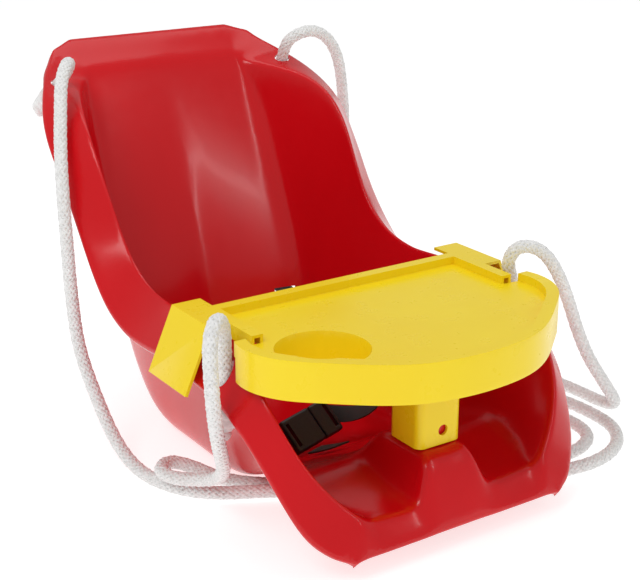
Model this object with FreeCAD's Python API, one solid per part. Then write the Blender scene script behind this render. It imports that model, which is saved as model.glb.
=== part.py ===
import FreeCAD, Part
import math
import os

# Toddler bucket swing, standing on the floor on the flat bottom of its bowl.
# Millimetres.  +Z up, the child faces -Y, the seat is symmetric about X = 0.

V = FreeCAD.Vector
os.makedirs("parts", exist_ok=True)

# ---------------------------------------------------------------- dimensions
WALL = 3.5              # moulded wall of the seat
EDGE_TURN = 7.0         # depth of the turned-down edge round the flange
CREST_SPAN = 9.0        # spacing of the net beside the crest, sets its radius
EDGE_SPAN = 8.0         # spacing of the net beside the flange edge
SADDLE_TOP = 85.0       # height of the saddle that carries the tray post

TRAY_TOP = 200.0        # rim of the tray
TRAY_BOTTOM = 163.0     # lower edge of the tray skirt
TRAY_WALL = 3.0


# ------------------------------------------------------------- seat shell
# One row per station from the front lip to the top edge of the back.
# centre (y, z), floor corner (x, y, z), crest (x, y, z), edge (x, y, z),
# corner rounding, saddle rise (dy, dz) at the centre.
SEAT_STATIONS = [
    ((-282, 20), (86, -282, 20), (103, -282, 20), (118, -282, 20), 12, (0, 0)),
    ((-280, 26), (86, -280, 26), (104, -280, 27), (122, -281, 21), 12, (0, 2)),
    ((-273, 34), (88, -274, 36), (105, -275, 42), (128, -279, 23), 12, (5, 24)),
    ((-268, 39), (90, -269, 45), (106, -271, 52), (136, -276, 27), 14, (10, 42)),
    ((-262, 41), (92, -264, 48), (110, -266, 58), (143, -271, 32), 16, (14, 44)),
    ((-254, 41), (98, -256, 48), (120, -260, 68), (152, -263, 39), 20, (12, 44)),
    ((-244, 42), (106, -244, 48), (135, -250, 87), (161, -253, 52), 22, (6, 43)),
    ((-226, 43), (113, -226, 48), (149, -236, 112), (170, -237, 76), 26, (2, 42)),
    ((-204, 45), (119, -204, 50), (158, -212, 145), (180, -208, 113), 30, (0, 40)),
    ((-186, 49), (122, -186, 53), (158, -184, 168), (183, -184, 129), 34, (0, 36)),
    ((-172, 51), (124, -172, 54), (157, -164, 177), (184, -164, 138), 36, (0, 22)),
    ((-160, 50), (125, -160, 52), (157, -146, 182), (184, -146, 142), 38, (0, 7)),
    ((-136, 40), (121, -136, 43), (156, -122, 187), (184, -122, 145), 42, (0, 0)),
    ((-104, 27), (115, -104, 30), (155, -92, 189), (184, -92, 147), 46, (0, 0)),
    ((-68, 9), (110, -68, 10), (153, -60, 190), (184, -60, 149), 50, (0, 0)),
    ((-34, 3.2), (108, -34, 3.2), (152, -34, 188.5), (184, -32, 148), 52, (0, 0)),
    ((0, 3.2), (107, 0, 3.2), (150, -8, 187), (184, -6, 146.5), 52, (0, 0)),
    ((30, 3.2), (107, 28, 3.2), (150.5, 8, 188), (184.5, 18, 147), 53, (0, 0)),
    ((60, 3.2), (107, 56, 3.2), (150, 25, 190.5), (185, 42, 153), 54, (0, 0)),
    ((92, 3.2), (108, 84, 3.2), (149.5, 44, 196), (186, 68, 167), 54, (0, 0)),
    ((128, 8), (110, 114, 12), (149, 63, 206), (185, 98, 196), 54, (0, 0)),
    ((158, 34), (112, 140, 42), (149, 80, 220), (184, 122, 225), 54, (0, 0)),
    ((174, 78), (117, 156, 86), (150, 97, 244), (185, 144, 258), 54, (0, 0)),
    ((192, 132), (116, 176, 140), (152, 115, 275), (186, 166, 286), 50, (0, 0)),
    ((212, 190), (114, 200, 196), (153, 134, 305), (186, 188, 312), 44, (0, 0)),
    ((232, 248), (112, 224, 250), (150, 160, 330), (178, 214, 334), 36, (0, 0)),
    ((250, 302), (107, 246, 302), (138, 200, 347), (162, 244, 354), 26, (0, 0)),
    ((264, 340), (100, 262, 338), (106, 264, 352), (148, 264, 366), 16, (0, 0)),
    ((271, 356), (92, 270, 354), (99, 270, 357), (138, 277, 373), 12, (0, 0)),
    ((276, 364), (88, 276, 364), (96, 275, 363), (133, 284, 377), 12, (0, 0)),
    ((284, 371), (89, 284, 371), (97, 283, 370), (130, 289, 380), 12, (0, 0)),
    ((298, 386), (90, 298, 386), (99, 297, 385), (128, 293, 382), 12, (0, 0)),
    ((306, 393), (90, 306, 393), (100, 306, 393), (126, 296, 383), 12, (0, 0)),
]
SADDLE_X = (0, 12, 24, 31, 39, 52)          # net lines across the saddle
SADDLE_RISE = (1, 1, 1, 0.62, 0.08, 0)      # share of the saddle rise on them


def mix(a, b, t):
    """Point a share t of the way from a to b."""
    return a + (b - a) * t


def half_row(station):
    """Net points of one station, from the centre line out to the edge."""
    (cy, cz), corner, crest, edge, rounding, (rise_y, rise_z) = station
    centre = V(0, cy, cz)
    corner, crest, edge = V(*corner), V(*crest), V(*edge)
    row = []
    for x, share in zip(SADDLE_X, SADDLE_RISE):
        p = mix(centre, corner, x / corner.x)
        row.append(p + V(0, rise_y * share, rise_z * share))
    inner = row[-1]
    run = (corner - inner).Length
    row.append(mix(inner, corner, 0.45))
    row.append(mix(inner, corner, 1 - min(0.4, rounding / run)))
    row.append(corner)
    run = (crest - corner).Length
    low = min(0.3, rounding / run)
    high = 1 - min(0.3, CREST_SPAN / run)
    for t in (low, (low + high) / 2, high, 1):
        row.append(mix(corner, crest, t))
    run = (edge - crest).Length
    near = min(0.3, CREST_SPAN / run)
    far = 1 - min(0.3, EDGE_SPAN / run)
    for t in (near, 0.5, far, 1):
        row.append(mix(crest, edge, t))
    return row


def seat_net():
    """Net of the upper face, without the turned-down edge."""
    net = []
    for station in SEAT_STATIONS:
        half = half_row(station)
        left = [V(-p.x, p.y, p.z) for p in reversed(half[1:])]
        net.append(left + half)
    return net


def net_normal(net, i, j):
    """Unit normal of the net at one point, pointing up and inwards."""
    i0, i1 = max(i - 1, 0), min(i + 1, len(net) - 1)
    j0, j1 = max(j - 1, 0), min(j + 1, len(net[0]) - 1)
    across = net[i][j1] - net[i][j0]
    along = net[i1][j] - net[i0][j]
    n = across.cross(along)
    return n.normalize()


def turned_edge(net, depth):
    """The net with one more ring of points, turned down by depth."""
    rows, cols = len(net), len(net[0])
    down = [[net[i][j] - net_normal(net, i, j) * depth for j in range(cols)]
            for i in range(rows)]
    full = [[down[0][0]] + down[0] + [down[0][-1]]]
    for i in range(rows):
        full.append([down[i][0]] + net[i] + [down[i][-1]])
    full.append([down[-1][0]] + down[-1] + [down[-1][-1]])
    # at each corner the two neighbours of the ring's corner point step aside
    for i, i_in in ((0, 1), (-1, -2)):
        for j, j_in in ((0, 1), (-1, -2)):
            full[i][j_in] += (net[i][j_in] - net[i][j]) * 0.3
            full[i_in][j] += (net[i_in][j] - net[i][j]) * 0.3
    return full


def offset_net(net, distance):
    """Every point of the net moved along its normal."""
    return [[net[i][j] + net_normal(net, i, j) * distance
             for j in range(len(net[0]))] for i in range(len(net))]


def even_knots(count):
    """Multiplicities and knots of a clamped cubic with count poles."""
    spans = count - 3
    return [4] + [1] * (spans - 1) + [4], [k / spans for k in range(spans + 1)]


def spline_face(net):
    """Cubic surface over a net of poles, with evenly spaced knots."""
    u_mults, u_knots = even_knots(len(net))
    v_mults, v_knots = even_knots(len(net[0]))
    surface = Part.BSplineSurface()
    surface.buildFromPolesMultsKnots(net, u_mults, v_mults, u_knots, v_knots,
                                     False, False, 3, 3)
    return surface.toShape()


def edge_strip(upper, lower):
    """Ruled face between two rows of poles."""
    mults, knots = even_knots(len(upper))
    surface = Part.BSplineSurface()
    surface.buildFromPolesMultsKnots([upper, lower], [2, 2], mults, [0, 1], knots,
                                     False, False, 1, 3)
    return surface.toShape()


def skin_solid(upper, lower):
    """Closed solid between the cubic surfaces of two matching nets."""
    faces = [spline_face(upper), spline_face(lower)]
    for a, b in ((upper, lower), (list(zip(*upper)), list(zip(*lower)))):
        faces.append(edge_strip(list(a[0]), list(b[0])))
        faces.append(edge_strip(list(a[-1]), list(b[-1])))
    shell = Part.makeShell(faces)
    shell.sewShape()
    solid = Part.makeSolid(shell)
    if solid.Volume < 0:
        solid.reverse()
    return solid


BACK_HOLE = V(142, 246, 353)        # rope hole through the ear of the flange
BACK_HOLE_AXIS = V(-0.25, -0.61, 0.75)
FRONT_HOLE = V(168, -146, 167)      # rope hole through the flange beside the tray
ROPE_D = 15.0
ROPE_HOLE_R = 8.6
SLOT_CENTRE = V(93, 168, 98)        # harness slot in the back wall
SLOT_SIZE = (27.0, 60.0, 6.0)


def mirrored(shape):
    """The same shape on the other side of the seat."""
    return shape.mirror(V(0, 0, 0), V(1, 0, 0))


def seat_shell():
    upper = turned_edge(seat_net(), EDGE_TURN)
    lower = offset_net(upper, -WALL)
    shell = skin_solid(upper, lower)
    tools = []
    axis = V(BACK_HOLE_AXIS).normalize()
    tools.append(Part.makeCylinder(ROPE_HOLE_R, 40, BACK_HOLE - axis * 20, axis))
    tools.append(Part.makeCylinder(ROPE_HOLE_R, 40, FRONT_HOLE - V(0, 0, 20), V(0, 0, 1)))
    slot = Part.makeBox(*SLOT_SIZE)
    slot.translate(SLOT_CENTRE - V(*SLOT_SIZE) * 0.5)
    tools.append(slot)
    # the bowl's underside dips just below the floor plane and is faced off flat
    tools.append(Part.makeBox(200, 400, 20, V(0, -150, -20)))
    return shell.cut([t for tool in tools for t in (tool, mirrored(tool))])


# ------------------------------------------------------------------ tray
TRAY_REAR = -76.0
TRAY_OUTLINE = [(169, -165), (169, -200), (156, -225), (131, -249), (105, -271), (66, -295),
                (24, -305)]
NOTCH_X = 150.0          # inner end of the rope notch
TAB_FRONT, TAB_REAR = -124.0, -53.0
TAB_PROFILE = [(140, 200), (170, 200), (197, 139), (194, 138), (168, 197), (140, 197)]
RECESS_DEPTH = 8.0
CUP_CENTRE = (-103.0, -205.0)
CUP_TOP_R, CUP_BOTTOM_R, CUP_DEPTH = 43.0, 38.0, 28.0


def tray_prism(inset, z0, z1):
    """Prism over the tray's outline, every side moved in by inset."""
    front = [V(x, y, z0) for x, y in TRAY_OUTLINE]
    centre = V(0, -140, z0)
    front = [p + (centre - p).normalize() * inset * 1.05 for p in front]
    curve = Part.BSplineCurve()
    left = [V(-p.x, p.y, p.z) for p in reversed(front)]
    curve.interpolate(front + left)
    x_in = NOTCH_X - inset
    rear = TRAY_REAR - inset
    start, end = front[0], left[-1]
    edges = [Part.makePolygon([end, V(-x_in, end.y, z0), V(-x_in, rear, z0),
                               V(x_in, rear, z0), V(x_in, start.y, z0), start]),
             curve.toShape()]
    wire = Part.Wire(edges[0].Edges + [edges[1]])
    return Part.Face(wire).extrude(V(0, 0, z1 - z0))


def tab():
    """Hook of the tray that lies over the flange, on the +X side."""
    points = [V(x, TAB_FRONT, z) for x, z in TAB_PROFILE]
    face = Part.Face(Part.makePolygon(points + points[:1]))
    return face.extrude(V(0, TAB_REAR - TAB_FRONT, 0))


def tray():
    body = tray_prism(0, TRAY_BOTTOM, TRAY_TOP)
    body = body.cut(tray_prism(12, TRAY_TOP - RECESS_DEPTH, TRAY_TOP + 1))
    under = tray_prism(TRAY_WALL, TRAY_BOTTOM - 1, TRAY_TOP - TRAY_WALL)
    keep = tray_prism(12 - TRAY_WALL, TRAY_TOP - RECESS_DEPTH - TRAY_WALL, TRAY_TOP)
    under = under.cut(keep)
    cup_z = TRAY_TOP - RECESS_DEPTH
    cup_at = V(CUP_CENTRE[0], CUP_CENTRE[1], cup_z - CUP_DEPTH)
    cup_outer = Part.makeCone(CUP_BOTTOM_R + TRAY_WALL, CUP_TOP_R + TRAY_WALL, CUP_DEPTH + TRAY_WALL,
                              cup_at - V(0, 0, TRAY_WALL))
    cup_inner = Part.makeCone(CUP_BOTTOM_R, CUP_TOP_R, CUP_DEPTH, cup_at)
    cup_mouth = Part.makeCylinder(CUP_TOP_R, RECESS_DEPTH + 1, V(cup_at.x, cup_at.y, cup_z))
    body = body.cut(under.cut(cup_outer)).cut([cup_inner, cup_mouth])
    # the skirt is shallow along the rear, and shallower still inside the crest
    rear = Part.makeBox(400, 4, 15, V(-200, TRAY_REAR - 3.5, TRAY_BOTTOM - 0.1))
    side = Part.makeBox(40, 110, 23, V(130, -172, TRAY_BOTTOM - 0.1))
    body = body.cut([rear, side, mirrored(side)])
    return body.fuse([tab(), mirrored(tab())]).removeSplitter()


# ------------------------------------------------- post and its stub
POST_CENTRE = (0.0, -221.0)
POST_SIZE = (50.0, 46.0)
POST_WALL = 3.0
POST_BOTTOM = 87.0
POST_HOLE = (3.0, 101.0, 5.3)       # x, z, radius in the front face
STUB_CLEARANCE = 0.6
STUB_TOP = 128.0


def rounded_box(size_x, size_y, z0, z1, radius, centre):
    """Upright box with rounded corners."""
    box = Part.makeBox(size_x, size_y, z1 - z0,
                       V(centre[0] - size_x / 2, centre[1] - size_y / 2, z0))
    upright = [e for e in box.Edges if e.BoundBox.ZLength > z1 - z0 - 0.01]
    return box.makeFillet(radius, upright)


def tray_post():
    top = TRAY_TOP - RECESS_DEPTH - TRAY_WALL
    outer = rounded_box(POST_SIZE[0], POST_SIZE[1], POST_BOTTOM, top, 8, POST_CENTRE)
    inner = rounded_box(POST_SIZE[0] - 2 * POST_WALL, POST_SIZE[1] - 2 * POST_WALL,
                        POST_BOTTOM - 1, top - POST_WALL, 5, POST_CENTRE)
    x, z, radius = POST_HOLE
    hole = Part.makeCylinder(radius, 12, V(x, POST_CENTRE[1] - POST_SIZE[1] / 2 - 2, z), V(0, 1, 0))
    return outer.cut(inner).cut(hole)


def saddle_stub(shell):
    gap = 2 * (POST_WALL + STUB_CLEARANCE)
    outer = rounded_box(POST_SIZE[0] - gap, POST_SIZE[1] - gap, 70, STUB_TOP, 4.4, POST_CENTRE)
    inner = rounded_box(POST_SIZE[0] - gap - 6, POST_SIZE[1] - gap - 6, 60, STUB_TOP - 3, 2, POST_CENTRE)
    pieces = outer.cut(inner).cut(shell).Solids
    return max(pieces, key=lambda solid: solid.BoundBox.ZMax)


# ----------------------------------------------------------------- ropes
# One rope each side: from the ear of the back, along the floor, to the front
# hole beside the tray.  Each list runs from the back knot to the front knot.
KNOT_R = 13.0
KNOT_LONG = 24.0
ROPE_Z = ROPE_D / 2
ROPE_LEFT = [
    (-145, 253.4, 344), (-139, 239, 362), (-136, 226, 378), (-146, 209, 384), (-161, 193, 370),
    (-171, 176, 341), (-183, 154, 309), (-193, 132, 271), (-198, 118, 225), (-199, 113, 168),
    (-198, 106, 110), (-194, 78, 64), (-190, 44, 24), (-186, 4, ROPE_Z), (-176, -42, ROPE_Z),
    (-150, -78, ROPE_Z), (-103, -103, ROPE_Z), (-45, -136, ROPE_Z), (15, -166, ROPE_Z),
    (75, -189, ROPE_Z), (130, -218, ROPE_Z), (180, -237, ROPE_Z), (225, -236, ROPE_Z),
    (262, -219, ROPE_Z), (287, -187, ROPE_Z), (292, -142, ROPE_Z), (286, -92, ROPE_Z),
    (283, -44, ROPE_Z), (277, 2, ROPE_Z), (249, 39, ROPE_Z), (205, 44, ROPE_Z),
    (172, 14, ROPE_Z), (174, -30, ROPE_Z), (204, -65, ROPE_Z), (238, -100, ROPE_Z),
    (259, -144, ROPE_Z),
    (251, -190, ROPE_Z), (212, -210, ROPE_Z), (168, -206, ROPE_Z), (125, -191, ROPE_Z),
    (75, -170, ROPE_Z), (15, -143, ROPE_Z), (-45, -117, ROPE_Z), (-92, -95, ROPE_Z),
    (-124.5, -61, ROPE_Z), (-141, -29, 14), (-163, -20, 23), (-182, -34, 24), (-180, -58, 24.5),
    (-163, -77, 26), (-155, -102, 35), (-161, -128, 56), (-176, -150, 84), (-190, -168, 116),
    (-198, -177, 150), (-200, -178, 182), (-197, -172, 210), (-183, -159.5, 222.5),
    (-169, -147, 211), (-167.5, -145.5, 188), (-168.6, -146.6, 162), (-168, -146, 134),
]
ROPE_RIGHT = [
    (145, 253.4, 344), (139, 239, 361), (140, 229, 379), (159, 226, 387), (180, 229, 386),
    (201, 232, 373), (216, 235, 349), (222, 236, 315), (226, 236, 271), (223, 237, 217),
    (226, 238, 160), (225, 240, 106), (231, 246, 60), (243, 262, 24), (264, 286, ROPE_Z),
    (306, 300, ROPE_Z), (350, 313, ROPE_Z), (381, 348, ROPE_Z), (375, 396, ROPE_Z),
    (333, 421, ROPE_Z), (276, 419, ROPE_Z), (216, 412, ROPE_Z), (156, 414, ROPE_Z),
    (104, 433, ROPE_Z), (84, 478, ROPE_Z), (109, 521, ROPE_Z), (160, 533, ROPE_Z),
    (218, 530, ROPE_Z), (278, 524, ROPE_Z), (338, 514, ROPE_Z), (392, 490, ROPE_Z),
    (428, 446, ROPE_Z), (440, 390, ROPE_Z), (432, 332, ROPE_Z), (414, 276, ROPE_Z),
    (394, 221, ROPE_Z), (368, 168, ROPE_Z), (347, 113, ROPE_Z), (331, 57, ROPE_Z),
    (321, 1, ROPE_Z), (317, -52, ROPE_Z), (321, -98, ROPE_Z), (321, -138, ROPE_Z),
    (311, -167, 20), (291, -167, 47), (268, -161, 82), (250, -159, 118), (236, -158, 153),
    (221, -157, 184), (203, -156, 209), (184, -154, 221), (165, -151.5, 222), (158, -148, 208),
    (164, -146, 193), (168, -146.5, 178), (167.6, -146, 163), (168.2, -146.3, 148), (168, -146, 134),
]


def rope(points):
    """Tube along straight runs joined by tangent arcs."""
    points = [V(*p) for p in points]
    edges, start, tightest = [], points[0], 1e9
    for before, corner, after in zip(points, points[1:], points[2:]):
        a, b = before - corner, after - corner
        reach = 0.45 * min(a.Length, b.Length)
        turn = math.pi - a.getAngle(b)
        tightest = min(tightest, reach / math.tan(turn / 2))
        enter = corner + V(a).normalize() * reach
        leave = corner + V(b).normalize() * reach
        sagitta = (enter + leave) * 0.5
        radius = reach / math.tan(turn / 2)
        depth = radius / math.cos(turn / 2) - radius
        middle = corner + (sagitta - corner).normalize() * depth
        edges.append(Part.makeLine(start, enter))
        edges.append(Part.Arc(enter, middle, leave).toShape())
        start = leave
    edges.append(Part.makeLine(start, points[-1]))
    path = Part.Wire(edges)
    circle = Part.Wire(Part.makeCircle(ROPE_D / 2, points[0], points[1] - points[0]))
    tube = path.makePipeShell([circle], True, False)
    section = math.pi * ROPE_D ** 2 / 4
    print("rope length %.0f, tightest radius %.1f, volume / (section x length) %.3f"
          % (path.Length, tightest, tube.Volume / section / path.Length))
    return tube


def knot(top, axis):
    """Stopper knot under the flange: a rounded drum, its flat top at the given point."""
    drum = Part.makeCylinder(KNOT_R, KNOT_LONG, top - V(axis) * KNOT_LONG, axis)
    rims = [e for e in drum.Edges if isinstance(e.Curve, Part.Circle)]
    return drum.makeFillet(5, rims)


# --------------------------------------------------------------- harness
WEB_THICK = 1.6
WEB_LEFT = [    # centre line and half-width vector of the webbing
    ((-93, 188, 99), (11, 0, 0)), ((-93, 172, 98.5), (11, 0, 0)), ((-93, 158, 98), (11, 0, 0)),
    ((-93, 146, 84), (11, 0, 0)), ((-92, 132, 58), (11, 0, 0)), ((-90, 112, 34), (11, 0, 2)),
    ((-86, 70, 20), (11, 0, 2)), ((-84, 20, 20), (11, 0, 2)), ((-85, -20, 28), (11, 1, 2)),
    ((-84, -50, 38), (8, 6, 3)), ((-74, -71, 42), (4, 9, 5)), ((-60, -74, 37), (0, 9, 6)),
    ((-53, -64, 32), (-2, 8, 7)), ((-46.6, -56, 28.4), (-2.3, 7.6, 7.6)),
]
WEB_RIGHT = [
    ((93, 188, 99), (11, 0, 0)), ((93, 172, 98.5), (11, 0, 0)), ((93, 158, 98), (11, 0, 0)),
    ((94, 146, 84), (11, 0, 0)), ((95, 128, 62), (11, 0, 2)), ((96, 96, 46), (10, 2, 3)),
    ((97, 50, 38), (9, 5, 3)), ((96, 5, 40), (8, 7, 3)), ((90, -32, 45), (7, 8, 2)),
    ((77, -52, 46), (6, 9, 0)), ((58, -60, 40), (5, 9.5, 0)), ((40, -58, 37), (3, 10, 2)),
    ((27, -52, 37), (0, 9, 6)), ((17, -46.5, 37.8), (-2.3, 7.6, 7.6)),
]
WEB_TAIL = [
    ((-27, -78, 21), (10.5, 3, 0)), ((-21, -86, 24), (11, 3, 0)), ((-15, -93, 27), (11, 2, 0)),
    ((-10, -100, 31), (11, 1.5, 0)),
]


def webbing(stations):
    """Flat strap, swept through its stations."""
    net = [[V(*c) + V(*w) * k for k in (-1, -0.9, 0, 0.9, 1)] for c, w in stations]
    return skin_solid(offset_net(net, WEB_THICK / 2), offset_net(net, -WEB_THICK / 2))


BUCKLE_AT = V(-8, -50, 34)
BUCKLE_TURN = 12.0       # of the buckle's long axis, from +X
BUCKLE_TILT = 45.0       # it leans on the webbing, its rear edge up
BUCKLE_WIDTH, BUCKLE_THICK = 38.0, 12.0
SOCKET_LONG, PLUG_LONG = 38.0, 24.0
BUCKLE_GAP = 0.5


def place_buckle(shape):
    shape.rotate(V(0, 0, 0), V(0, 0, 1), BUCKLE_TURN)
    shape.rotate(V(0, 0, 0), V(1, 0, 0), BUCKLE_TILT)
    shape.translate(BUCKLE_AT)
    return shape


def soft_block(x0, x1, width, thick, radius):
    """Block along X, centred on the other axes, all its edges rounded."""
    box = Part.makeBox(x1 - x0, width, thick, V(x0, -width / 2, -thick / 2))
    return box.makeFillet(radius, box.Edges)


def buckle_socket():
    """Female half: hollow, open towards +X, with a window each side and a strap bar."""
    body = soft_block(-SOCKET_LONG, 0, BUCKLE_WIDTH, BUCKLE_THICK, 3)
    throat = Part.makeBox(SOCKET_LONG - 10, BUCKLE_WIDTH - 5, BUCKLE_THICK - 5,
                          V(-SOCKET_LONG + 10.1, -BUCKLE_WIDTH / 2 + 2.5, -BUCKLE_THICK / 2 + 2.5))
    windows = Part.makeBox(13, BUCKLE_WIDTH + 10, 6.4, V(-24, -BUCKLE_WIDTH / 2 - 5, -3.2))
    slot = Part.makeBox(4, 27, 20, V(-SOCKET_LONG + 3.5, -13.5, -10))
    return place_buckle(body.cut([throat, windows, slot]))


def buckle_plug():
    """Male half: the bridge with its strap slot and its central tongue."""
    body = soft_block(BUCKLE_GAP, PLUG_LONG, BUCKLE_WIDTH, BUCKLE_THICK, 3)
    slot = Part.makeBox(4, 27, 20, V(PLUG_LONG - 8, -13.5, -10))
    tongue = Part.makeBox(22, 9, 4, V(-20, -4.5, -2))
    return place_buckle(body.cut(slot).fuse(tongue))


def buckle_prong(side):
    """Springy arm of the plug, its head showing in the socket's window."""
    points = [(0, 11), (0, 15), (-11, 15), (-12, 18.4), (-20, 18.4), (-25, 12), (-21, 11), (-14, 13)]
    face = Part.Face(Part.makePolygon([V(x, y * side, -2.5) for x, y in points + points[:1]]))
    return place_buckle(face.extrude(V(0, 0, 5)))


def web_stop():
    """Bar behind the back wall that keeps the webbing from pulling through."""
    bar = Part.makeCylinder(3, 34, V(76, 192.5, 99), V(1, 0, 0))
    return bar


def save(name, shape):
    shape.exportStep("parts/%s.step" % name)
    box = shape.BoundBox
    print(name, "valid", shape.isValid(), "solids", len(shape.Solids), "cm3 %.1f" % (shape.Volume / 1000),
          [round(v) for v in (box.XMin, box.XMax, box.YMin, box.YMax, box.ZMin, box.ZMax)])


shell = seat_shell()
back_axis = V(BACK_HOLE_AXIS).normalize()
back_knot = knot(V(145, 253.4, 344), back_axis)
front_knot = knot(V(168, -146, 134), V(0, 0, 1))
parts = {
    "seat_shell": shell,
    "saddle_stub": saddle_stub(shell),
    "tray": tray(),
    "tray_post": tray_post(),
    "rope_left": rope(ROPE_LEFT),
    "rope_right": rope(ROPE_RIGHT),
    "knot_back_right": back_knot,
    "knot_back_left": mirrored(back_knot),
    "knot_front_right": front_knot,
    "knot_front_left": mirrored(front_knot),
    "webbing_left": webbing(WEB_LEFT),
    "webbing_right": webbing(WEB_RIGHT),
    "webbing_tail": webbing(WEB_TAIL),
    "web_stop_right": web_stop(),
    "web_stop_left": mirrored(web_stop()),
    "buckle_socket": buckle_socket(),
    "buckle_plug": buckle_plug(),
    "buckle_prong_front": buckle_prong(-1),
    "buckle_prong_rear": buckle_prong(1),
}
for name, shape in parts.items():
    save(name, shape)
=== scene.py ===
import math

import bpy
import numpy as np
from mathutils import Matrix, Vector


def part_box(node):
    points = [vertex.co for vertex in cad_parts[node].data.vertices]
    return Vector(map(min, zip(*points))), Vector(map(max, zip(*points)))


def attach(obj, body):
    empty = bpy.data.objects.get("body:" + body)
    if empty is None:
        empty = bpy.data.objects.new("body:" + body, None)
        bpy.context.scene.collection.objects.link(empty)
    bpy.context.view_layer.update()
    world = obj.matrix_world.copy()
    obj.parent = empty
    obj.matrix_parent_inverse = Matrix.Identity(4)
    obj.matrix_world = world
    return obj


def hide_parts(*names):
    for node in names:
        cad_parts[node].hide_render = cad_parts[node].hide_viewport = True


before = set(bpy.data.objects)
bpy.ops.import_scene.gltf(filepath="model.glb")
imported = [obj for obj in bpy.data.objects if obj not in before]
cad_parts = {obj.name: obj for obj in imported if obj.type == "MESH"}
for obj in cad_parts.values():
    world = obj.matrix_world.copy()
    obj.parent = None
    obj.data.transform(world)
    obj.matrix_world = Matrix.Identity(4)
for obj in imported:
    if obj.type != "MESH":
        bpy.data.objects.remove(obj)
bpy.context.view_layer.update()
MM = 0.001


# ------------------------------------------------------------------ camera
CAMERA_AT = (-0.72110, -1.12251, 0.64170)
CAMERA_RIGHT = Vector((0.83058, -0.55690, 0.0))
CAMERA_UP = Vector((0.18755, 0.27971, 0.94159))
SENSOR = 36.0            # mm
LENS = 77.06             # mm


def add_camera():
    """Camera in front of the seat, on its -X side and above it."""
    data = bpy.data.cameras.new("camera")
    data.sensor_width = SENSOR
    data.lens = LENS
    data.clip_end = 50
    camera = bpy.data.objects.new("camera", data)
    back = CAMERA_RIGHT.cross(CAMERA_UP)
    turn = Matrix((CAMERA_RIGHT, CAMERA_UP, back)).transposed()
    camera.matrix_world = Matrix.Translation(CAMERA_AT) @ turn.to_4x4()
    bpy.context.collection.objects.link(camera)
    bpy.context.scene.camera = camera


# --------------------------------------------------------------- materials
def new_material(name, roughness=0.4, **inputs):
    """Node material with its Principled shader; inputs are set on the shader's own sockets."""
    material = bpy.data.materials.new(name)
    material.use_nodes = True
    shader = material.node_tree.nodes["Principled BSDF"]
    shader.inputs["Roughness"].default_value = roughness
    for socket, value in inputs.items():
        shader.inputs[socket.replace("_", " ")].default_value = value
    return material, material.node_tree, shader


def add_node(tree, kind, **settings):
    """Shader node whose settings go to its input sockets, or else to its properties."""
    node = tree.nodes.new(kind)
    for name, value in settings.items():
        if name in node.inputs:
            node.inputs[name].default_value = value
        else:
            setattr(node, name, value)
    return node


def object_coordinates(tree):
    return tree.nodes.new("ShaderNodeTexCoord").outputs["Object"]


def noise(tree, scale, detail=3.0, stretch=None):
    """Noise in object coordinates, optionally stretched along the axes."""
    node = add_node(tree, "ShaderNodeTexNoise", Scale=scale, Detail=detail)
    source = object_coordinates(tree)
    if stretch:
        mapping = add_node(tree, "ShaderNodeMapping", Scale=stretch)
        tree.links.new(source, mapping.inputs["Vector"])
        source = mapping.outputs["Vector"]
    tree.links.new(source, node.inputs["Vector"])
    return node.outputs["Fac"]


def ramp(tree, source, low, high, start=0.3, end=0.7):
    """Colour ramp from low to high, over a source that runs from 0 to 1."""
    node = tree.nodes.new("ShaderNodeValToRGB")
    node.color_ramp.elements[0].position = start
    node.color_ramp.elements[0].color = (*low, 1)
    node.color_ramp.elements[1].position = end
    node.color_ramp.elements[1].color = (*high, 1)
    tree.links.new(source, node.inputs["Fac"])
    return node.outputs["Color"]


def map_range(tree, source, low, high):
    """Source stretched from the range 0 to 1 onto low to high."""
    node = add_node(tree, "ShaderNodeMapRange")
    node.inputs["To Min"].default_value = low
    node.inputs["To Max"].default_value = high
    tree.links.new(source, node.inputs["Value"])
    return node.outputs["Result"]


def bump(tree, shader, height, strength, distance):
    """Fine relief on the shader's surface."""
    node = add_node(tree, "ShaderNodeBump", Strength=strength, Distance=distance)
    tree.links.new(height, node.inputs["Height"])
    tree.links.new(node.outputs["Normal"], shader.inputs["Normal"])


def gloss_plastic(name, low, high, roughness):
    """Moulded polyethylene: faint flow marks in the colour, a satin ripple in the gloss."""
    material, tree, shader = new_material(name, IOR=1.5, Specular_IOR_Level=0.32,
                                          Coat_Weight=0.06, Coat_Roughness=0.06)
    colour = ramp(tree, noise(tree, 7.0, 4.0, (1, 1, 0.4)), low, high)
    tree.links.new(colour, shader.inputs["Base Color"])
    tree.links.new(map_range(tree, noise(tree, 60.0, 5.0), *roughness), shader.inputs["Roughness"])
    bump(tree, shader, noise(tree, 90.0, 2.0), 0.05, 0.0006)
    return material


def rope_material():
    """Soft white polypropylene yarn, slightly uneven in colour."""
    material, tree, shader = new_material("rope_yarn", 0.75, Sheen_Weight=0.25, Sheen_Roughness=0.5)
    colour = ramp(tree, noise(tree, 260.0, 3.0), (0.78, 0.775, 0.76), (0.93, 0.93, 0.925))
    tree.links.new(colour, shader.inputs["Base Color"])
    bump(tree, shader, noise(tree, 1800.0, 3.0), 0.5, 0.0004)
    return material


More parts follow.
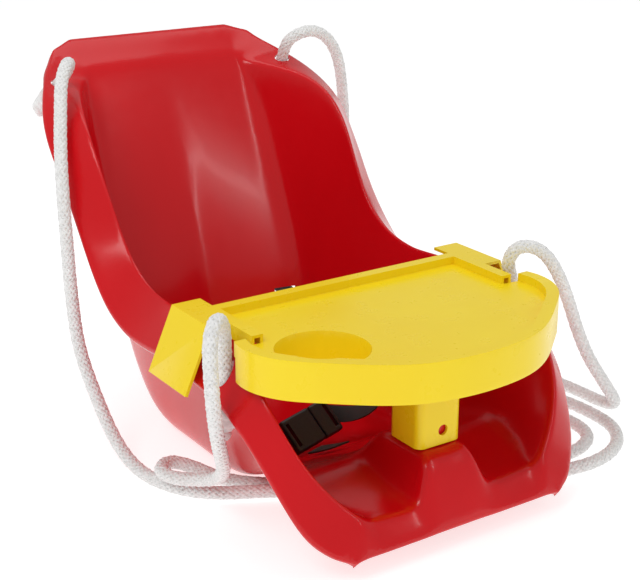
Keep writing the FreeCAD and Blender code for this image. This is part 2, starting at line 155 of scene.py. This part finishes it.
def webbing_material():
    """Black polypropylene webbing with a fine ribbed weave."""
    material, tree, shader = new_material("webbing_weave", 0.7, Sheen_Weight=0.15)
    source = object_coordinates(tree)
    waves = []
    for direction in ("X", "Y"):
        wave = add_node(tree, "ShaderNodeTexWave", Scale=260.0, bands_direction=direction)
        tree.links.new(source, wave.inputs["Vector"])
        waves.append(wave.outputs["Fac"])
    weave = add_node(tree, "ShaderNodeMath", operation="MULTIPLY")
    tree.links.new(waves[0], weave.inputs[0])
    tree.links.new(waves[1], weave.inputs[1])
    colour = ramp(tree, weave.outputs["Value"], (0.004, 0.004, 0.004), (0.018, 0.018, 0.02), 0.0, 1.0)
    tree.links.new(colour, shader.inputs["Base Color"])
    bump(tree, shader, weave.outputs["Value"], 0.8, 0.0006)
    return material


def black_plastic():
    """Textured acetal of the buckle."""
    material, tree, shader = new_material("black_acetal", 0.38)
    grain = noise(tree, 900.0, 2.0)
    colour = ramp(tree, grain, (0.008, 0.008, 0.009), (0.02, 0.02, 0.022))
    tree.links.new(colour, shader.inputs["Base Color"])
    bump(tree, shader, grain, 0.3, 0.0003)
    return material


RED = gloss_plastic("red_plastic", (0.60, 0.002, 0.006), (0.67, 0.004, 0.009), (0.14, 0.24))
YELLOW = gloss_plastic("yellow_plastic", (0.95, 0.69, 0.008), (0.98, 0.75, 0.012), (0.22, 0.36))
ROPE = rope_material()
WEBBING = webbing_material()
BLACK = black_plastic()


# ------------------------------------------------------------------- ropes
ROPE_D = 0.015
FLOOR = 7.5              # height of the centreline of a rope that lies on the floor, mm

# Centrelines of the ropes in mm, from the back knot to the front knot.
LEFT_ROUTE = [
    (-145, 253.4, 344), (-139, 239, 362), (-136, 226, 378), (-146, 209, 384), (-161, 193, 370),
    (-171, 176, 341), (-183, 154, 309), (-193, 132, 271), (-198, 118, 225), (-199, 113, 168),
    (-198, 106, 110), (-194, 78, 64), (-190, 44, 24), (-186, 4, FLOOR), (-176, -42, FLOOR),
    (-150, -78, FLOOR), (-103, -103, FLOOR), (-45, -136, FLOOR), (15, -166, FLOOR),
    (75, -189, FLOOR), (130, -218, FLOOR), (180, -237, FLOOR), (225, -236, FLOOR),
    (262, -219, FLOOR), (287, -187, FLOOR), (292, -142, FLOOR), (286, -92, FLOOR),
    (283, -44, FLOOR), (277, 2, FLOOR), (249, 39, FLOOR), (205, 44, FLOOR),
    (172, 14, FLOOR), (174, -30, FLOOR), (204, -65, FLOOR), (238, -100, FLOOR),
    (259, -144, FLOOR),
    (251, -190, FLOOR), (212, -210, FLOOR), (168, -206, FLOOR), (125, -191, FLOOR),
    (75, -170, FLOOR), (15, -143, FLOOR), (-45, -117, FLOOR), (-92, -95, FLOOR),
    (-124.5, -61, FLOOR), (-141, -29, 14), (-163, -20, 23), (-182, -34, 24), (-180, -58, 24.5),
    (-163, -77, 26), (-155, -102, 35), (-161, -128, 56), (-176, -150, 84), (-190, -168, 116),
    (-198, -177, 150), (-200, -178, 182), (-197, -172, 210), (-183, -159.5, 222.5),
    (-169, -147, 211), (-167.5, -145.5, 188), (-168.6, -146.6, 162), (-168, -146, 134),
]
RIGHT_ROUTE = [
    (145, 253.4, 344), (139, 239, 361), (140, 229, 379), (159, 226, 387), (180, 229, 386),
    (201, 232, 373), (216, 235, 349), (222, 236, 315), (226, 236, 271), (223, 237, 217),
    (226, 238, 160), (225, 240, 106), (231, 246, 60), (243, 262, 24), (264, 286, FLOOR),
    (306, 300, FLOOR), (350, 313, FLOOR), (381, 348, FLOOR), (375, 396, FLOOR),
    (333, 421, FLOOR), (276, 419, FLOOR), (216, 412, FLOOR), (156, 414, FLOOR),
    (104, 433, FLOOR), (84, 478, FLOOR), (109, 521, FLOOR), (160, 533, FLOOR),
    (218, 530, FLOOR), (278, 524, FLOOR), (338, 514, FLOOR), (392, 490, FLOOR),
    (428, 446, FLOOR), (440, 390, FLOOR), (432, 332, FLOOR), (414, 276, FLOOR),
    (394, 221, FLOOR), (368, 168, FLOOR), (347, 113, FLOOR), (331, 57, FLOOR),
    (321, 1, FLOOR), (317, -52, FLOOR), (321, -98, FLOOR), (321, -138, FLOOR),
    (311, -167, 20), (291, -167, 47), (268, -161, 82), (250, -159, 118), (236, -158, 153),
    (221, -157, 184), (203, -156, 209), (184, -154, 221), (165, -151.5, 222), (158, -148, 208),
    (164, -146, 193), (168, -146.5, 178), (167.6, -146, 163), (168.2, -146.3, 148), (168, -146, 134),
]
STRANDS = 8              # strands of the braid in each direction
BRAID_PITCH = 0.052      # length of one full turn of a strand
BRAID_STEP = 0.0026
STRAND_R = 0.0019
STRAND_SQUEEZE = 0.45    # share of a strand's thickness that the braid presses flat
CORE_SINK = 1.25         # depth of the core's surface below the rope's, in strand radii
STRAND_SINK = 1.05       # depth of the strands' mean line, in strand radii
WEAVE = 0.32             # how far a strand rises and dips as it crosses others, in strand radii


def route_points(points, name):
    """Centreline of a rope, read from its NURBS spline."""
    curve = bpy.data.curves.new(name, "CURVE")
    curve.dimensions = "3D"
    curve.resolution_u = 10
    spline = curve.splines.new("NURBS")
    spline.points.add(len(points) - 1)
    for point, (x, y, z) in zip(spline.points, points):
        point.co = (x * MM, y * MM, z * MM, 1)
    spline.order_u = 3
    spline.use_endpoint_u = True
    carrier = bpy.data.objects.new(name, curve)
    bpy.context.collection.objects.link(carrier)
    bpy.context.view_layer.update()
    mesh = bpy.data.meshes.new_from_object(carrier)
    path = np.array([v.co[:] for v in mesh.vertices])
    bpy.data.objects.remove(carrier)
    bpy.data.curves.remove(curve)
    bpy.data.meshes.remove(mesh)
    return path


def even_steps(path, step):
    """The path walked in even steps."""
    along = np.concatenate([[0], np.cumsum(np.linalg.norm(np.diff(path, axis=0), axis=1))])
    count = max(2, int(round(along[-1] / step)))
    marks = np.linspace(0, along[-1], count + 1)
    return np.stack([np.interp(marks, along, path[:, k]) for k in range(3)], 1), marks


def carried_frames(path):
    """Two unit vectors across the path at each point, carried along without twist."""
    tangents = np.gradient(path, axis=0)
    tangents /= np.linalg.norm(tangents, axis=1)[:, None]
    across = np.cross(tangents[0], (0.3, 0.5, 0.8))
    sides = []
    for tangent in tangents:
        across = across - tangent * (across @ tangent)
        across = across / np.linalg.norm(across)
        sides.append(across)
    sides = np.array(sides)
    return sides, np.cross(tangents, sides)


def tube_mesh(path, radius, ring, flatten=None):
    """Vertices and faces of a tube along a path; flatten squeezes it along given directions."""
    a, b = carried_frames(path)
    angles = np.linspace(0, 2 * math.pi, ring, endpoint=False)
    around = np.cos(angles)[None, :, None] * a[:, None] + np.sin(angles)[None, :, None] * b[:, None]
    offsets = around * radius
    if flatten is not None:
        share = (offsets * flatten[:, None]).sum(2)
        offsets = offsets - flatten[:, None] * share[:, :, None] * STRAND_SQUEEZE
    vertices = (path[:, None] + offsets).reshape(-1, 3)
    count = len(path)
    i = np.arange(count - 1)[:, None] * ring
    j = np.arange(ring)[None]
    k = (j + 1) % ring
    faces = np.stack([i + j, i + k, i + ring + k, i + ring + j], 2).reshape(-1, 4)
    caps = [list(range(ring))[::-1], [(count - 1) * ring + n for n in range(ring)]]
    return vertices, faces.tolist() + caps


def joined_mesh(name, parts, material):
    """One object from several (vertices, faces) parts, shaded smooth."""
    vertices, faces, base = [], [], 0
    for points, polygons in parts:
        vertices.append(points)
        faces.extend([[index + base for index in polygon] for polygon in polygons])
        base += len(points)
    mesh = bpy.data.meshes.new(name)
    mesh.from_pydata(np.concatenate(vertices).tolist(), [], faces)
    mesh.polygons.foreach_set("use_smooth", [True] * len(mesh.polygons))
    mesh.materials.append(material)
    piece = bpy.data.objects.new(name, mesh)
    bpy.context.collection.objects.link(piece)
    return piece


def braid_parts(path, diameter):
    """Core and crossing strands of a braided rope."""
    centre, marks = even_steps(path, BRAID_STEP)
    side_a, side_b = carried_frames(centre)
    parts = [tube_mesh(centre, diameter / 2 - STRAND_R * CORE_SINK, 12)]
    turn = 2 * math.pi * marks / BRAID_PITCH
    wave = np.cos(STRANDS * turn)
    base = diameter / 2 - STRAND_R * STRAND_SINK
    for direction in (1, -1):
        for k in range(STRANDS):
            angle = direction * turn + 2 * math.pi * k / STRANDS
            outward = np.cos(angle)[:, None] * side_a + np.sin(angle)[:, None] * side_b
            lift = base + direction * wave * STRAND_R * WEAVE
            parts.append(tube_mesh(centre + outward * lift[:, None], STRAND_R, 6, outward))
    return parts


def add_rope(side, route):
    """One braided rope along its route, in place of the CAD rope."""
    name = "rope_" + side
    path = route_points(route, name + "_route")
    rope = joined_mesh(name + "_braid", braid_parts(path, ROPE_D), ROPE)
    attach(rope, "seat")
    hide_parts(name)


BACK_KNOT_AXIS = (-0.25, -0.61, 0.75)    # at the right ear, mirrored for the left
FRONT_KNOT_AXIS = (0, 0, 1)
KNOT_TURNS = 2.3
KNOT_STEPS = 60
KNOT_RING = 0.0078       # radius of the winding's centreline
KNOT_UNEVEN = 0.001
KNOT_START = 0.006       # depth of the first winding below the top of the knot
KNOT_HEIGHT = 0.0145
WINDING_R = 0.0056
KNOT_CORE_R = 0.0062
KNOT_TOP = 0.012         # top of a knot above the middle of its box


def stopper_knot(node, top, axis):
    """Barrel knot: the rope's tail wound round itself, with its sealed end hanging out."""
    axis = axis.normalized()
    a = axis.orthogonal().normalized()
    b = axis.cross(a)
    winding = []
    for n in range(KNOT_STEPS + 1):
        t = n / KNOT_STEPS
        angle = 2 * math.pi * KNOT_TURNS * t
        out = KNOT_RING + KNOT_UNEVEN * math.sin(3 * angle)
        around = a * math.cos(angle) + b * math.sin(angle)
        winding.append(top - axis * (KNOT_START + KNOT_HEIGHT * t) + around * out)
    tail = [winding[-1] - axis * 0.005, top - axis * 0.034 + a * 0.003]
    path = np.array([p[:] for p in winding + tail])
    core = np.array([(top + axis * 0.001)[:], (top - axis * 0.012)[:], (top - axis * 0.026)[:]])
    parts = [tube_mesh(even_steps(path, 0.0022)[0], WINDING_R, 14), tube_mesh(core, KNOT_CORE_R, 14)]
    piece = joined_mesh(node + "_wound", parts, ROPE)
    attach(piece, "seat")
    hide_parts(node)
    return piece


# ------------------------------------------------------- carried-over parts
TRAY_ROUND = 0.0022
SMALL_ROUND = 0.0009
SHARP = math.radians(38)     # edges that turn by more than this are rounded


def finish_nodes():
    """Materials of the CAD parts that keep their shape, and rounding of the moulded ones."""
    finishes = {"seat_shell": RED, "saddle_stub": RED, "tray": YELLOW, "tray_post": YELLOW,
                "web_stop_left": BLACK, "web_stop_right": BLACK, "buckle_socket": BLACK,
                "buckle_plug": BLACK, "buckle_prong_front": BLACK, "buckle_prong_rear": BLACK,
                "webbing_left": WEBBING, "webbing_right": WEBBING, "webbing_tail": WEBBING}
    for name, material in finishes.items():
        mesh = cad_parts[name].data
        mesh.materials.clear()
        mesh.materials.append(material)
    for name in ("tray", "tray_post"):
        round_edges(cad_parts[name], TRAY_ROUND)
    for name in ("buckle_socket", "buckle_plug", "web_stop_left", "web_stop_right"):
        round_edges(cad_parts[name], SMALL_ROUND)


def round_edges(node, width):
    """Small rounding on the sharp edges of a moulded part."""
    weld = node.modifiers.new("weld", "WELD")
    weld.merge_threshold = 0.00002
    bevel = node.modifiers.new("round", "BEVEL")
    bevel.width = width
    bevel.segments = 3
    bevel.limit_method = "ANGLE"
    bevel.angle_limit = SHARP
    bevel.harden_normals = True


# ------------------------------------------------------------------- stage
SEAT_MIDDLE = (0, 0, 0.15)
BACK_WALL = (0.085, 0.228, 0.255)    # where the strip light leaves its streak
WORLD_STRENGTH = 0.5
FLOOR_GLOW = 0.68


def area_light(name, at, target, size, power):
    """White rectangular light that faces its target."""
    data = bpy.data.lights.new(name, "AREA")
    data.shape = "RECTANGLE"
    data.size, data.size_y = size
    data.energy = power
    light = bpy.data.objects.new(name, data)
    light.location = at
    light.rotation_euler = (Vector(target) - Vector(at)).to_track_quat("-Z", "Y").to_euler()
    bpy.context.collection.objects.link(light)


def add_stage():
    """White floor, white surroundings and soft studio lights."""
    bpy.ops.mesh.primitive_plane_add(size=14, location=(0, 0, -0.0005))
    floor = bpy.context.object
    floor.name = "floor"
    material, _, shader = new_material("floor_paper", 0.9)
    shader.inputs["Base Color"].default_value = (0.62, 0.62, 0.62, 1)
    shader.inputs["Specular IOR Level"].default_value = 0.0
    shader.inputs["Emission Color"].default_value = (1, 1, 1, 1)
    shader.inputs["Emission Strength"].default_value = FLOOR_GLOW
    floor.data.materials.append(material)
    world = bpy.data.worlds.new("studio")
    world.use_nodes = True
    background = world.node_tree.nodes["Background"]
    background.inputs["Color"].default_value = (1, 1, 1, 1)
    background.inputs["Strength"].default_value = WORLD_STRENGTH
    bpy.context.scene.world = world
    area_light("key", (-1.4, -0.5, 1.9), SEAT_MIDDLE, (0.9, 0.9), 13)
    area_light("top", (0.3, 0.4, 2.2), SEAT_MIDDLE, (1.6, 1.0), 8)
    area_light("strip", (0.62, -1.30, 1.12), BACK_WALL, (0.05, 0.9), 2.0)
    bpy.context.scene.view_settings.view_transform = "Standard"


# --------------------------------------------------------------------- make
add_camera()
finish_nodes()
knots = {}
for side, sign in (("left", -1), ("right", 1)):
    for end, (x, y, z) in (("back", BACK_KNOT_AXIS), ("front", FRONT_KNOT_AXIS)):
        axis = Vector((x * sign, y, z))
        node = "knot_%s_%s" % (end, side)
        low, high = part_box(node)
        middle = (low + high) / 2
        top = middle + axis.normalized() * KNOT_TOP
        knots.setdefault(side, []).append(stopper_knot(node, top, axis))
add_rope("left", LEFT_ROUTE)
add_rope("right", RIGHT_ROUTE)
add_stage()
